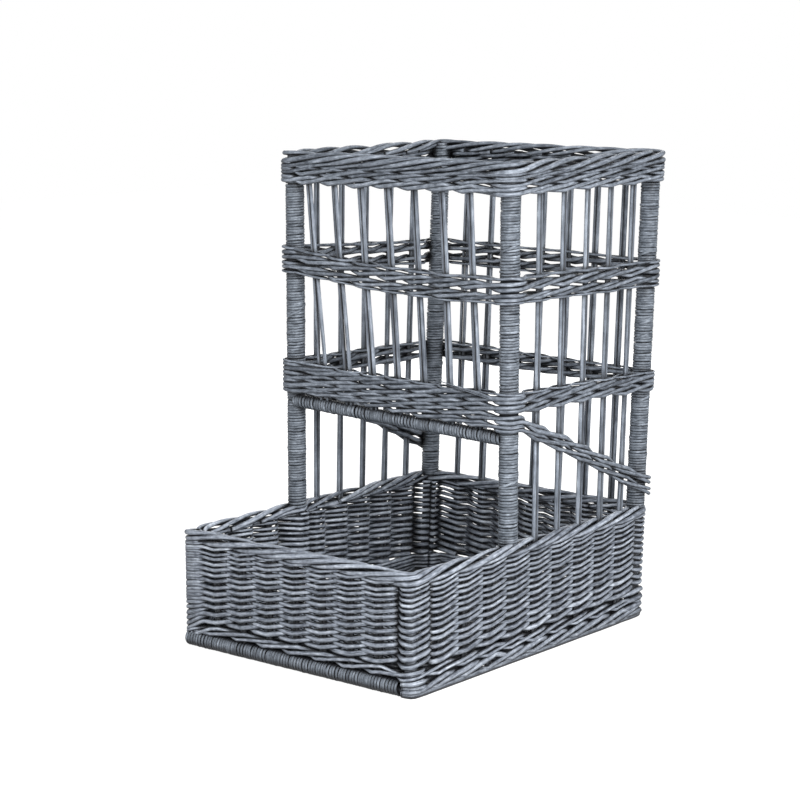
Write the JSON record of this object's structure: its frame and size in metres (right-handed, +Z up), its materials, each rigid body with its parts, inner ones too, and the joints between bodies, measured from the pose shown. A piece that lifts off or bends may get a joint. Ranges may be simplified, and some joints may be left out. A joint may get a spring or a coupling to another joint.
{
  "type": "bread display basket",
  "caption": "Woven willow display basket: a low open bin with a tall open-sided, open-topped tower over its rear part and a serving opening under a wrapped bar at the front.",
  "frame": {"origin": "on the surface the basket stands on, in the middle of the bin's footprint", "axes": "+X across the front to the right, -Y towards the customer at the front, +Z up"},
  "size_m": [0.418, 0.5777, 0.678],
  "materials": {
    "willow_post": "grey-washed peeled willow stick, matt",
    "willow_stake": "grey-washed willow rod, matt",
    "willow_weave": "grey-washed willow rods, woven, matt",
    "willow_wrap": "grey-washed split willow skein, closely wound",
    "nail_steel": "plain steel nail"
  },
  "bodies": {
    "root": {"front_left_post": "willow_post", "front_right_post": "willow_post", "rear_left_post": "willow_post", "rear_right_post": "willow_post", "bin_left_corner_post": "willow_post", "bin_right_corner_post": "willow_post", "opening_bar": "willow_post", "bottom_bar": "willow_post", "floor_sticks": "willow_post", "front_left_post_wrap": "willow_wrap", "front_right_post_wrap": "willow_wrap", "rear_left_post_wrap": "willow_wrap", "rear_right_post_wrap": "willow_wrap", "opening_bar_wrap": "willow_wrap", "bottom_bar_wrap": "willow_wrap", "bin_front_stakes": "willow_stake", "bin_left_stakes": "willow_stake", "bin_right_stakes": "willow_stake", "tower_left_stakes": "willow_stake", "tower_right_stakes": "willow_stake", "tower_rear_stakes": "willow_stake", "tower_front_stakes": "willow_stake", "bottom_wale": "willow_weave", "bin_weave": "willow_weave", "bin_border": "willow_weave", "lower_band": "willow_weave", "middle_band": "willow_weave", "top_band": "willow_weave", "top_border": "willow_weave", "opening_band": "willow_weave", "left_brace_band": "willow_weave", "right_brace_band": "willow_weave", "floor_weave": "willow_weave", "opening_bar_nails": "nail_steel", "bottom_bar_nails": "nail_steel"}
  },
  "joints": []
}
